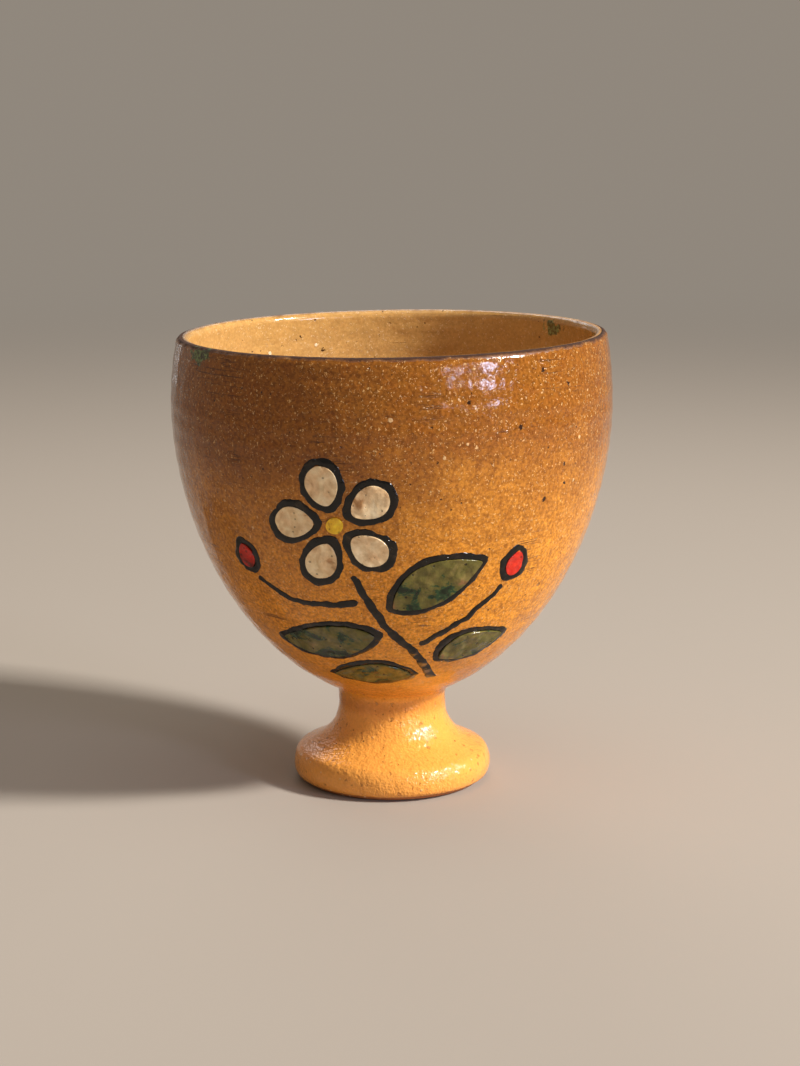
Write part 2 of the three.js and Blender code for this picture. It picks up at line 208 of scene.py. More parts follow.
# What both coats share. The lip wanders 0.65 mm up at 80 degrees from the front, over 45.5 mm, and
# the plane on which the lip's painted shade begins leans with it. The green is a neighbour's glaze, from the
# kiln.
# A span is the part of a noise's values that is used.
coats = {
    "noises": {"ragged": (0.5, 2.0, 0.5), "dragged": (13, 1.0, 0.5), "swells": (4.2, 2.0, 0.4),
               "lumps": (1.1, 2.0, 0.5), "sand": (0.55, 1.0, 0.5), "smudge": (1.6, 5.0, 0.5)},
    "cloudSpan": (0.3, 0.7), "mottleSpan": (0.42, 0.68), "grainSpan": (0.36, 0.64),
    "dragSpan": (0.57, 0.66), "threadSpan": (0.010, 0.004), "smudgeSpan": (0.3, 0.7), "grooveDetail": 3.0,
    "bandsOver": 100, "poolShare": 0.4,
    # darker at the lower edge, where the glass runs together, and at the neck, partly as painted shade in the
    # crease
    "pooledAndNeckShade": [(0.012, "#8C8C8C"), (0.022, "#000000"), (0.160, "#000000"), (0.178, "#FFFFFF"),
              (0.186, "#FFFFFF"), (0.205, "#000000")],
    "foot": (16, 32), "thick": (17, 42), "clearLeast": 0.15, "raggedBy": 1.3, "wholeShare": 0.3,
    "gritSpacing": 0.52, "gritRadii": (-0.10, 0.44), "gritSoft": 0.15, "speckSoft": 0.12,
    "squeeze": (15.0, 15.0, 480.0), "swellRelief": 0.3, "lumpRelief": 0.06, "lumpOnFoot": 0.16,
    "sandRelief": 0.09, "grainRelief": 0.034, "grooveRelief": 0.03, "gritRelief": 0.03,
    "lineRelief": -0.08, "lean": (-0.0141, 0.0025, 1.0), "lipRagged": 1.6, "lipFade": (0.8, 1.4),
    "lipShare": 0.92, "greens": [(0.42, "#232E14"), (0.62, "#74915A")], "smudgeRagged": 2.5,
    "smudgeSquash": (1.0, 1.0, 2.4), "smudgeFade": 1.2, "smudgeShare": 0.85, "ior": 1.45,
}
middle = (0.5, 0.5, 0.5)  # the mean of a coloured noise


def speckledGlaze(look):
    material, add, place = newMaterial(look["name"])
    height = add("ShaderNodeSeparateXYZ", {0: place}).outputs["Z"]
    # where the foot is, where the glaze is thin enough to see the clay, and where it scorched
    onFoot, clear, upper = [
        add("ShaderNodeMapRange", {0: height, 1: low * mm, 2: high * mm, 3: below, 4: above})
        for (low, high), below, above in ((coats["foot"], 1.0, 0.0),
                                          (coats["thick"], coats["clearLeast"], 1.0),
                                          (look["scorchedFrom"], 0.0, 1.0))]
    noise = {name: add("ShaderNodeTexNoise", {"Vector": place, "Scale": perMetre(size), "Detail": detail,
                                              "Roughness": roughness})
             for name, (size, detail, roughness) in {**look["noises"], **coats["noises"]}.items()}

    # bands of colour up the cup, which clouds move up and down; on the outside they are partly painted
    # light low down and partly painted shade towards the lip
    shift = look["cloudShift"] * mm / 2
    low, high = coats["cloudSpan"]
    clouds = add("ShaderNodeMapRange", {0: noise["clouds"], 1: low, 2: high, 3: -shift, 4: shift})
    shifted = add("ShaderNodeMath", {0: height, 1: clouds}, operation="ADD")
    # darker along its lower edge, where the glass has run together, and round the neck, partly run-together
    # glass and partly painted shade in the crease under the bowl
    bands, pooledAndNeckShade = [add("ShaderNodeValToRGB", {
        0: add("ShaderNodeMapRange", {0: level, 2: coats["bandsOver"] * mm})}) for level in (shifted, height)]
    fillRamp(bands, look["bands"])
    fillRamp(pooledAndNeckShade, coats["pooledAndNeckShade"])
    pooled = add("ShaderNodeMath", {0: pooledAndNeckShade, 1: coats["poolShare"]}, operation="MULTIPLY")
    colour = add("ShaderNodeMix", {0: pooled, 6: bands, 7: linearColour(look["pool"])}, data_type="RGBA")

    # mottle, where the glass runs thin, and the fine grain and bright grit of the clay under it;
    # all of it shows less through the thick glaze low down
    low, high = coats["mottleSpan"]
    thin = add("ShaderNodeMapRange", {0: noise["mottle"], 1: low, 2: high, 4: look["mottleShare"]})
    thin = add("ShaderNodeMath", {0: thin, 1: clear}, operation="MULTIPLY")
    colour = add("ShaderNodeMix", {0: thin, 6: colour, 7: linearColour(look["mottle"])}, data_type="RGBA")
    low, high = coats["grainSpan"]
    light = add("ShaderNodeMapRange", {0: noise["grain"], 1: low, 2: high})
    tint = add("ShaderNodeMix", {0: light, 6: look["grain"][0], 7: look["grain"][1]}, data_type="RGBA")
    tint = add("ShaderNodeMix", {0: clear, 6: (1, 1, 1, 1), 7: tint}, data_type="RGBA")
    colour = add("ShaderNodeVectorMath", {0: colour, 1: tint}, operation="MULTIPLY")
    jag = add("ShaderNodeVectorMath", {0: noise["ragged"].outputs["Color"], 1: middle}, operation="SUBTRACT")
    jag = add("ShaderNodeVectorMath", {0: jag, 1: [coats["raggedBy"] * mm] * 3, 2: place},
              operation="MULTIPLY_ADD")
    grit = specks(add, jag, coats["gritSpacing"], *coats["gritRadii"], coats["gritSoft"], look["gritShare"])
    grit = add("ShaderNodeMath", {0: grit, 1: clear}, operation="MULTIPLY")

    # grooves and drag lines of the throwing: noise squeezed flat, and its threads cut out as lines
    squeezed = add("ShaderNodeMapping", {0: place, 3: coats["squeeze"]})
    grooves = add("ShaderNodeTexNoise", {"Vector": squeezed, "Scale": 1.0, "Detail": coats["grooveDetail"]})
    thread = add("ShaderNodeMath", {0: grooves, 1: 0.5}, operation="SUBTRACT")
    thread = add("ShaderNodeMath", {0: thread}, operation="ABSOLUTE")
    low, high = coats["threadSpan"]
    thread = add("ShaderNodeMapRange", {0: thread, 1: low, 2: high})
    low, high = coats["dragSpan"]
    dragged = add("ShaderNodeMapRange", {0: noise["dragged"], 1: low, 2: high, 4: look["lineShare"]})
    dragged = add("ShaderNodeMath", {0: dragged, 1: onFoot}, operation="SUBTRACT", use_clamp=True)
    lines = add("ShaderNodeMath", {0: thread, 1: dragged}, operation="MULTIPLY")

    # relief in mm: swells of the glass, lumps and sand that are strongest on the foot, grain, grooves
    raised = add("ShaderNodeMath", {0: noise["swells"], 1: coats["swellRelief"]}, operation="MULTIPLY")
    lumpy = add("ShaderNodeMath", {0: onFoot, 1: coats["lumpOnFoot"], 2: coats["lumpRelief"]},
                operation="MULTIPLY_ADD")
    sandy = add("ShaderNodeMath", {0: onFoot, 1: coats["sandRelief"]}, operation="MULTIPLY")
    for field, depth in ((noise["lumps"], lumpy), (noise["sand"], sandy),
                         (noise["grain"], coats["grainRelief"]), (grooves, coats["grooveRelief"])):
        raised = add("ShaderNodeMath", {0: field, 1: depth, 2: raised}, operation="MULTIPLY_ADD")

    # specks: mean distance in mm, least and most radius as shares of it, colour, strength, relief in
    # mm, which part of the wall has them, and whether they are ragged or nearly whole
    layers = [(grit, look["grit"], coats["gritRelief"]), (lines, look["line"], coats["lineRelief"])]
    whole = add("ShaderNodeMix", {0: coats["wholeShare"], 4: place, 5: jag}, data_type="VECTOR")
    for spacing, least, most, speck, strength, relief, where, edge in (
        (1.6, -0.09, 0.17, "grog", look["grogShare"] * 0.6, 0.01, None, jag),
        (3.4, -0.06, 0.11, "grog", look["grogShare"], 0.02, None, jag),
        (1.5, -0.12, 0.16, "iron", 0.75, -0.03, None, jag),
        (5.6, -0.02, 0.10, "grog", 0.6, 0.12, upper, whole),
        (2.0, -0.05, 0.15, "iron", 0.85, -0.10, None, whole),
        (5.2, -0.07, 0.12, "iron", 0.95, -0.25, upper, jag),
        (1.6, -0.05, 0.33, "mottle", 0.5, -0.07, onFoot, jag),
        (2.2, -0.05, 0.17, "grog", 0.6, 0.10, onFoot, whole),
    ):
        within = specks(add, edge, spacing, least, most, coats["speckSoft"] / spacing, strength)
        if where:
            within = add("ShaderNodeMath", {0: within, 1: where}, operation="MULTIPLY")
        layers.append((within, look[speck], relief))
    colour, raised = layered(add, colour, raised, layers)

    # the lip, made matt and painted dark as shade along its crest, on a plane that leans as the lip wanders
    leaning = add("ShaderNodeVectorMath", {0: place, 1: coats["lean"]}, operation="DOT_PRODUCT")
    edge = add("ShaderNodeMath", {0: noise["mottle"], 1: coats["lipRagged"] * mm, 2: leaning},
               operation="MULTIPLY_ADD")
    low, high = [(look["lipFrom"] + fade) * mm for fade in coats["lipFade"]]
    shadedLip = add("ShaderNodeMapRange", {0: edge, 1: low, 2: high, 4: coats["lipShare"]})
    colour = add("ShaderNodeMix", {0: shadedLip, 6: colour, 7: linearColour(look["lip"])}, data_type="RGBA")
    rough = add("ShaderNodeMapRange", {0: shadedLip, 2: coats["lipShare"], 3: look["roughness"],
                                       4: look["lipRough"]})

    # a small ragged smudge of green
    ragged, reach = coats["smudgeRagged"] * mm, look["smudgeReach"]
    low, high = coats["smudgeSpan"]
    ragged = add("ShaderNodeMapRange", {0: noise["smudge"], 1: low, 2: high, 3: -ragged, 4: ragged})
    away = add("ShaderNodeVectorMath", {0: place, 1: [c * mm for c in look["smudge"]]}, operation="SUBTRACT")
    away = add("ShaderNodeVectorMath", {0: away, 1: coats["smudgeSquash"]}, operation="MULTIPLY")
    away = add("ShaderNodeVectorMath", {0: away}, operation="LENGTH")
    edge = add("ShaderNodeMath", {0: away, 1: ragged}, operation="ADD")
    within = add("ShaderNodeMapRange", {0: edge, 1: reach * mm, 2: (reach - coats["smudgeFade"]) * mm,
                                        4: coats["smudgeShare"]})
    greens = add("ShaderNodeValToRGB", {0: noise["grain"]})
    fillRamp(greens, coats["greens"])
    colour = add("ShaderNodeMix", {0: within, 6: colour, 7: greens}, data_type="RGBA")
    endMaterial(add, colour, raised, look["relief"], rough, coats["ior"])
    return material


# Bare grogged stoneware, turned and wiped: dry and rough, reddish, with pale and dark grains.
# Clouds and tooth are (size in mm, detail), and grains are (mean distance in mm, most radius as a
# share of it, colour, relief).
clayLook = {"colour": "#C27A42", "warm": "#A65F30", "clouds": (7, 5.0), "tooth": (0.6, 4.0), "soft": 0.05,
            "grains": ((1.5, 0.32, "#E3B98A", 0.6), (2.8, 0.2, "#5A3019", -0.8)),
            "roughness": 0.85, "relief": 0.12, "ior": 1.5}


def bareStoneware(name, look):
    material, add, place = newMaterial(name)
    clouds, tooth = [
        add("ShaderNodeTexNoise", {"Vector": place, "Scale": perMetre(size), "Detail": detail})
        for size, detail in (look["clouds"], look["tooth"])]
    colour = add("ShaderNodeMix", {0: clouds, 6: linearColour(look["colour"]), 7: linearColour(look["warm"])},
                 data_type="RGBA")
    colour, raised = layered(add, colour, tooth, [
        (specks(add, place, spacing, 0.0, most, look["soft"]), speck, relief)
        for spacing, most, speck, relief in look["grains"]])
    endMaterial(add, colour, raised, look["relief"], look["roughness"], look["ior"])
    return material


# The sprig's glazes were brushed and trailed on: glassy, in blotches with fairly sharp edges where
# they lie thick or thin, and with small dark pits. Stops are (noise, colour), blotch is in mm, shade
# is the least and most of the finer streaks within a blotch, and waves is how many times deeper the
# slow waves are than the fine peel.
brushedLooks = {
    "oliveGlaze": {"stops": [(0.36, "#17240F"), (0.42, "#2B4526"), (0.44, "#5B5522"), (0.53, "#6A5F2A"),
                             (0.62, "#7E6C38"), (0.66, "#8A6238")],
                   "blotch": 6, "shade": (0.78, 1.12), "pits": 0.85, "roughness": 0.1, "waves": 4.5},
    "creamGlaze": {"stops": [(0.36, "#FCE2B4"), (0.47, "#F2D2A0"), (0.60, "#E2B986"), (0.70, "#B07E4C")],
                   "blotch": 4.5, "shade": (0.9, 1.06), "pits": 0.5, "roughness": 0.1, "waves": 4.5},
    "redGlaze": {"stops": [(0.36, "#DA341C"), (0.46, "#C82614"), (0.58, "#AE1E10"), (0.68, "#64180C")],
                 "blotch": 4, "shade": (0.85, 1.1), "pits": 0.6, "roughness": 0.1, "waves": 4.5},
    "yellowGlaze": {"stops": [(0.36, "#FFDC3C"), (0.46, "#FACA2E"), (0.58, "#ECB526"), (0.68, "#B8801C")],
                    "blotch": 3, "shade": (0.9, 1.06), "pits": 0.4, "roughness": 0.1, "waves": 4.5},
    "darkLine": {"stops": [(0.40, "#040302"), (0.50, "#0A0604"), (0.58, "#1B130B"), (0.68, "#352A1B")],
                 "blotch": 6, "shade": (0.8, 1.2), "pits": 0.8, "roughness": 0.08, "waves": 2.5},
}
# What they share, in mm, but for the pits' radius and soft edge, which are shares of their spacing.
# Peel and waves are (size, detail), and a span is the part of a noise's values that is used.
brushwork = {"pitSpacing": 1.5, "pitRadius": 0.26, "pitSoft": 0.06, "pitColour": "#1E140C",
             "pitRelief": -0.8, "peel": (1.3, 3.0), "peelSpan": (0.35, 0.65), "waves": (3.2, 1.0),
             "blotches": {"Detail": 6.0, "Roughness": 0.62, "Distortion": 0.5},
             "relief": 0.15, "ior": 1.45}


def brushedGlaze(name, look):
    material, add, place = newMaterial(name)
    blotches = add("ShaderNodeTexNoise", {"Vector": place, "Scale": perMetre(look["blotch"]),
                                          **brushwork["blotches"]})
    ramp = add("ShaderNodeValToRGB", {0: blotches})
    fillRamp(ramp, look["stops"])
    peel, waves = [
        add("ShaderNodeTexNoise", {"Vector": place, "Scale": perMetre(size), "Detail": detail})
        for size, detail in (brushwork["peel"], brushwork["waves"])]
    low, high = brushwork["peelSpan"]
    shade = add("ShaderNodeMapRange", {0: peel, 1: low, 2: high, 3: look["shade"][0], 4: look["shade"][1]})
    colour = add("ShaderNodeVectorMath", {0: ramp, "Scale": shade}, operation="SCALE")
    pit = specks(add, place, brushwork["pitSpacing"], 0.0, brushwork["pitRadius"], brushwork["pitSoft"],
                 look["pits"])
    colour, raised = layered(add, colour, peel, [(pit, brushwork["pitColour"], brushwork["pitRelief"])])
    raised = add("ShaderNodeMath", {0: waves, 1: look["waves"], 2: raised}, operation="MULTIPLY_ADD")
    endMaterial(add, colour, raised, brushwork["relief"], look["roughness"], brushwork["ior"])
    return material


amberGlaze = speckledGlaze(outsideLook)
linerGlaze = speckledGlaze(insideLook)
bareClay = bareStoneware("bareStoneware", clayLook)
brushed = {name: brushedGlaze(name, look) for name, look in brushedLooks.items()}
print("finishes made:", len(bpy.data.materials))

# The pot's own sizes in mm, which are the CAD's.
pot = {
    "bellyRadius": 47.6, "bellyAbovePole": 66.0, "lipAboveBelly": 14.6, "eggFullness": 1.9,
    "wallAtBelly": 3.1, "lipThickness": 2.1, "floorThickness": 6.0, "lipWander": 0.65, "lipHighSide": 80.0,
    "floorTurn": 0.57, "spiralPitch": 8.5, "spiralDepth": 0.35,
    "stemTop": 18.2, "neckRadius": 11.45, "neckStraight": 1.6, "footRadius": 21.6, "rollHeight": 3.4,
    "rollUndercut": 2.6, "rollRise": 3.6, "rollNose": 2.4, "footSlope": 22.0, "footRingWidth": 4.8,
    "hollowCrown": 6.2, "slipThickness": 0.8, "filletDrop": 1.6, "filletRun": 2.2,
    "glazeThickness": 0.4, "wipedHeight": 1.0,
}
# Only the roll of the foot differs: its shoulder is fuller than the CAD's plain arc, by these mm.
swell = {"out": 0.45, "at": 7.4, "reach": 1.5}
# The mm between a profile's points, and over which the edge of a coat is rounded off.
spacings = {"skin": 0.62, "underSkin": 4, "bowl": 3, "foot": 1.5, "hollow": 0.8, "bareEdge": 0.3,
            "wallDown": 0.5}
beads = {"foot": 0.9, "lip": 0.1}
wallSteps, shoulderSteps, innerSteps = 120, 30, 200
poleHeight = pot["stemTop"] + pot["slipThickness"]
bellyHeight = poleHeight + pot["bellyAbovePole"]
lipHeight = bellyHeight + pot["lipAboveBelly"]
floorHeight = poleHeight + pot["floorThickness"]
lipCentre = lipHeight - pot["lipThickness"] / 2


class Egg:
    # the quarter egg from the belly down to the pole
    def __init__(self, radius, depth):
        self.radius, self.depth = radius, depth

    def at(self, t):
        angle, power = t * math.pi / 2, 2 / pot["eggFullness"]
        return (self.radius * max(math.cos(angle), 0) ** power,
                bellyHeight - self.depth * math.sin(angle) ** power)

    def turnAtRadius(self, radius):
        return 2 / math.pi * math.acos(min(1, (radius / self.radius) ** (pot["eggFullness"] / 2)))

    def heightAt(self, radius):
        return self.at(self.turnAtRadius(radius))[1]

    def radiusAt(self, height):
        share = abs(height - bellyHeight) / self.depth
        return self.radius * (1 - share ** pot["eggFullness"]) ** (1 / pot["eggFullness"])


outside = Egg(pot["bellyRadius"], pot["bellyAbovePole"])
inside = Egg(pot["bellyRadius"] - pot["wallAtBelly"], bellyHeight - floorHeight)


def arc(centre, half, start, end, count):
    angles = [math.radians(start + (end - start) * i / count) for i in range(count + 1)]
    return [(centre[0] + half[0] * math.cos(a), centre[1] + half[1] * math.sin(a)) for a in angles]


def bezier(a, b, c, count):
    return [tuple((1 - t) ** 2 * a[j] + 2 * t * (1 - t) * b[j] + t * t * c[j] for j in (0, 1))
            for t in (i / count for i in range(count + 1))]


def runs(path):
    # how far along the path each of its points is
    along = [0]
    for a, b in zip(path, path[1:]):
        along.append(along[-1] + math.dist(a, b))
    return along


def evenly(path, spacing):
    # the same path with its points spaced alike, both ends kept
    along = runs(path)
    count = max(2, round(along[-1] / spacing))
    points, k = [], 0
    for i in range(count + 1):
        s = along[-1] * i / count
        while k < len(path) - 2 and along[k + 1] < s:
            k += 1
        step = along[k + 1] - along[k]
        t = 0 if step == 0 else (s - along[k]) / step
        points.append(tuple(path[k][j] + (path[k + 1][j] - path[k][j]) * t for j in (0, 1)))
    return points


# Profiles, as (radius, height). They run outwards underneath, up the outside, over the lip and
# down the inside, with the clay on their left.
ringRadius = pot["footRadius"] - pot["rollUndercut"]
filletRadius = pot["neckRadius"] + pot["filletRun"]
filletTop = outside.heightAt(filletRadius)
filletFoot = outside.heightAt(pot["neckRadius"]) - pot["slipThickness"] - pot["filletDrop"]
wiped = math.degrees(math.asin(pot["wipedHeight"] / pot["rollHeight"] - 1))
slope = math.tan(math.radians(pot["footSlope"]))
rollEnd = math.degrees(math.atan2(pot["rollRise"], pot["rollNose"] * slope))

hollow = arc((0, 0), (ringRadius - pot["footRingWidth"], pot["stemTop"] - pot["hollowCrown"]), 90, 0, 60)
rollUnder = ((ringRadius, pot["rollHeight"]), (pot["rollUndercut"], pot["rollHeight"]))
bareEdge = arc(*rollUnder, -90, wiped, 12)
foot = arc(*rollUnder, wiped, 0, 16)
foot += arc((pot["footRadius"] - pot["rollNose"], pot["rollHeight"]), (pot["rollNose"], pot["rollRise"]),
            0, rollEnd, 20)[1:]
foot += bezier(foot[-1], (pot["neckRadius"], foot[-1][1] + slope * (foot[-1][0] - pot["neckRadius"])),
               (pot["neckRadius"], filletFoot - pot["neckStraight"]), 40)[1:]
foot = [(r + swell["out"] * math.exp(-((z - swell["at"]) / swell["reach"]) ** 2), z) for r, z in foot]
turnEnd = outside.turnAtRadius(filletRadius)
near, end = outside.at(turnEnd - 0.001), outside.at(turnEnd)
rise = (near[1] - end[1]) / (near[0] - end[0])
fillet = bezier((pot["neckRadius"], filletFoot), (pot["neckRadius"], filletTop - pot["filletRun"] * rise),
                (filletRadius, filletTop), 14)
wall = [outside.at(turnEnd * (1 - i / wallSteps)) for i in range(wallSteps + 1)]
shoulder = [bellyHeight + (lipCentre - bellyHeight) * i / shoulderSteps for i in range(shoulderSteps + 1)]
wall += [(outside.radiusAt(z), z) for z in shoulder[1:]]
lip = arc((wall[-1][0] - pot["lipThickness"] / 2, lipCentre), [pot["lipThickness"] / 2] * 2, 0, 180, 36)
crest = len(lip) // 2  # where the two coats meet
thinning = pot["wallAtBelly"] - pot["lipThickness"]
innerWall = [(outside.radiusAt(z) - pot["wallAtBelly"] + thinning * i / shoulderSteps, z)
             for i, z in enumerate(shoulder)][::-1]
innerWall += [inside.at(i / innerSteps) for i in range(1, innerSteps + 1)]


def coat(path, thickness, bead):
    # the outer skin of a coat of glaze, rounded off over the first bead mm
    skin = []
    for i, (at, run) in enumerate(zip(path, runs(path))):
        before, after = path[max(i - 1, 0)], path[min(i + 1, len(path) - 1)]
        length = math.dist(before, after)
        lift = thickness * (math.sqrt(1 - (1 - run / bead) ** 2) if run < bead else 1)
        skin.append((at[0] + (after[1] - before[1]) / length * lift,
                     at[1] - (after[0] - before[0]) / length * lift))
    return skin


def spiralShare(radius):
    edge = inside.at(pot["floorTurn"])[0]
    return math.sqrt(math.sin(math.pi * (1 - radius / edge))) if 0 < radius < edge else 0


# The wheel: one tree turns a profile about the cup's axis, so that each of its points becomes a row
# round the axis, and then puts the marks of the throwing on it: rings that climb the wall from the
# fingers, a slow wobble of the wall and small lumps.
wheel = {"Facets": 400, "Ring Pitch": 4.2 * mm, "Ring Depth": 0.07 * mm, "Wobble Size": 34 * mm,
         "Wobble": 0.22 * mm, "Lump Size": 5 * mm, "Lump": 0.05 * mm, "Seed": 3.0,
         "Lip Wander": pot["lipWander"] * mm, "High Side": math.radians(pot["lipHighSide"]),
         "Belly Height": bellyHeight * mm, "Lip Height": lipHeight * mm,
         "Spiral Pitch": pot["spiralPitch"] * mm, "Spiral Depth": pot["spiralDepth"] / 2 * mm}
clayFacets, footFacets = 160, 320  # fewer, as the coats hide most of the clay
ringFadeSize = 20  # mm over which the rings fade in and out as they climb
weld = 0.002 * mm
wheelSockets = [(label, "Int" if label == "Facets" else "Float") for label in wheel]
turned, add, given = newTree("turnedOnTheWheel", wheelSockets + [("Finish", "Material")])
position = add("GeometryNodeInputPosition")
rows = add("GeometryNodeAttributeDomainSize", {0: given["Geometry"]}).outputs["Point Count"]
columns = add("ShaderNodeMath", {0: given["Facets"], 1: 1.0}, operation="ADD")
lattice = add("GeometryNodeMeshGrid", {"Vertices X": columns, "Vertices Y": rows})
index = add("GeometryNodeInputIndex")
row = add("ShaderNodeMath", {0: index, 1: rows}, operation="MODULO")
column = add("ShaderNodeMath", {0: index, 1: rows}, operation="DIVIDE")
column = add("ShaderNodeMath", {0: column}, operation="FLOOR")
angle = add("ShaderNodeMath", {0: column, 1: given["Facets"]}, operation="DIVIDE")
angle = add("ShaderNodeMath", {0: angle, 1: 2 * math.pi}, operation="MULTIPLY")
spiral, thrown = [add("GeometryNodeInputNamedAttribute", {"Name": label}, data_type="FLOAT")
                  for label in ("spiral", "thrown")]
profileAt, spiralAt, thrownAt = [
    add("GeometryNodeSampleIndex", {"Geometry": given["Geometry"], "Value": value, "Index": row},
        data_type=kind)
    for value, kind in ((position, "FLOAT_VECTOR"), (spiral, "FLOAT"), (thrown, "FLOAT"))]
profileAt = add("ShaderNodeSeparateXYZ", {0: profileAt}).outputs
# the lip wanders up on one side
rising = add("ShaderNodeMapRange", {0: profileAt["Z"], 1: given["Belly Height"], 2: given["Lip Height"]},
             interpolation_type="SMOOTHSTEP")
wander = add("ShaderNodeMath", {0: angle, 1: given["High Side"]}, operation="SUBTRACT")
wander = add("ShaderNodeMath", {0: wander}, operation="COSINE")
wander = add("ShaderNodeMath", {0: wander, 1: rising}, operation="MULTIPLY")
level = add("ShaderNodeMath", {0: wander, 1: given["Lip Wander"], 2: profileAt["Z"]},
            operation="MULTIPLY_ADD")
# the spiral groove on the floor
phase = add("ShaderNodeMath", {0: profileAt["X"], 1: given["Spiral Pitch"]}, operation="DIVIDE")
phase = add("ShaderNodeMath", {0: phase, 1: 2 * math.pi}, operation="MULTIPLY")
phase = add("ShaderNodeMath", {0: phase, 1: angle}, operation="SUBTRACT")
groove = add("ShaderNodeMath", {0: phase}, operation="COSINE")
groove = add("ShaderNodeMath", {0: groove, 1: given["Spiral Depth"]}, operation="MULTIPLY")
level = add("ShaderNodeMath", {0: groove, 1: spiralAt, 2: level}, operation="MULTIPLY_ADD")
place = roundTheCup(add, profileAt["X"], angle, level)
pottery = add("GeometryNodeStoreNamedAttribute", {"Geometry": lattice, "Name": "thrown", "Value": thrownAt},
              data_type="FLOAT")
pottery = add("GeometryNodeSetPosition", {"Geometry": pottery, "Position": place})
pottery = add("GeometryNodeMergeByDistance", {"Geometry": pottery, "Distance": weld})
pottery = add("GeometryNodeSetShadeSmooth", {"Geometry": pottery})
# rings, wobble and lumps, along the surface's own normal
spot = add("ShaderNodeSeparateXYZ", {0: position}).outputs
towards = add("ShaderNodeMath", {0: spot["Y"], 1: -1.0}, operation="MULTIPLY")
bearing = add("ShaderNodeMath", {0: spot["X"], 1: towards}, operation="ARCTAN2")
climb = add("ShaderNodeMath", {0: spot["Z"], 1: given["Ring Pitch"]}, operation="DIVIDE")
climb = add("ShaderNodeMath", {0: climb, 1: 2 * math.pi, 2: bearing}, operation="MULTIPLY_ADD")
rings = add("ShaderNodeMath", {0: climb}, operation="SINE")
fades = add("ShaderNodeTexNoise", {"Vector": position, "Scale": perMetre(ringFadeSize), "W": given["Seed"]},
            noise_dimensions="4D")
rings = add("ShaderNodeMath", {0: rings, 1: fades}, operation="MULTIPLY")
relief = add("ShaderNodeMath", {0: rings, 1: given["Ring Depth"]}, operation="MULTIPLY")
for size, depth in (("Wobble Size", "Wobble"), ("Lump Size", "Lump")):
    finer = add("ShaderNodeMath", {0: 1.0, 1: given[size]}, operation="DIVIDE")
    field = add("ShaderNodeTexNoise", {"Vector": position, "Scale": finer, "Detail": 1.0, "W": given["Seed"]},
                noise_dimensions="4D")
    field = add("ShaderNodeMath", {0: field, 1: 0.5}, operation="SUBTRACT")
    relief = add("ShaderNodeMath", {0: field, 1: given[depth], 2: relief}, operation="MULTIPLY_ADD")
relief = add("ShaderNodeMath", {0: relief, 1: thrown}, operation="MULTIPLY")
lift = add("ShaderNodeVectorMath", {0: add("GeometryNodeInputNormal"), "Scale": relief}, operation="SCALE")
pottery = add("GeometryNodeSetPosition", {"Geometry": pottery, "Offset": lift})
endTree(add, pottery, given["Finish"])


def throw(name, profile, finish, node, facets=wheel["Facets"]):
    # profile: (radius, height, share of the throwing marks, share of the floor's spiral)
    points = [(r * mm, 0, z * mm) for r, z, _, _ in profile]
    piece = newPiece(name, points, edges=[(i, i + 1) for i in range(len(points) - 1)],
                     attributes={"thrown": [p[2] for p in profile], "spiral": [p[3] for p in profile]})
    handIn(grow(piece, turned, {**wheel, "Facets": facets, "Finish": finish}), node)


outsideClay = evenly(foot + fillet + wall[1:] + lip[1:crest + 1], spacings["skin"])
insideClay = evenly(lip[crest:] + innerWall[1:], spacings["skin"])
insideClay[-1] = (0, floorHeight)

profile = [(r, z, 1, 0) for r, z in coat(outsideClay, pot["glazeThickness"], beads["foot"])]
profile += [(r, z, 0, 0) for r, z in evenly(outsideClay[::-1], spacings["underSkin"])]
throw("amberCoat", profile, amberGlaze, "outer_glaze")

skin = coat(insideClay, pot["glazeThickness"], beads["lip"])
skin[0] = (insideClay[0][0], insideClay[0][1] + pot["glazeThickness"])
skin[-1] = (0, floorHeight + pot["glazeThickness"])
profile = [(*insideClay[0], 0, 0)] + [(r, z, 1, spiralShare(r)) for r, z in skin]
profile += [(r, z, 0, spiralShare(r)) for r, z in evenly(insideClay[::-1], spacings["underSkin"])]
throw("linerCoat", profile, linerGlaze, "liner_glaze")

seat = [(r, outside.heightAt(r)) for r in (pot["neckRadius"] * i / 12 for i in range(13))]
stemSeat = [(r, z - pot["slipThickness"]) for r, z in seat]
profile = [(r, z, 0, 0) for r, z in seat + evenly(wall, spacings["bowl"]) + lip[1:]]
profile += [(r, z, 0, spiralShare(r)) for r, z in evenly(insideClay, spacings["bowl"])[1:]]
throw("thrownBowl", profile, bareClay, "bowl", clayFacets)

under = evenly(hollow, spacings["hollow"]) + evenly(bareEdge, spacings["bareEdge"])
profile = [(r, z, 0.5 if z > 1 else 0, 0) for r, z in under]  # the ring itself stays flat
profile += [(r, z, 0, 0) for r, z in evenly(foot, spacings["foot"])[1:] + fillet[:1] + stemSeat[::-1]]
throw("turnedFoot", profile, bareClay, "pedestal", footFacets)

profile = [(r, z, 0, 0) for r, z in stemSeat + fillet + seat[::-1]]
throw("slipJoint", profile, bareClay, "slip_joint", clayFacets)
print("pot thrown")

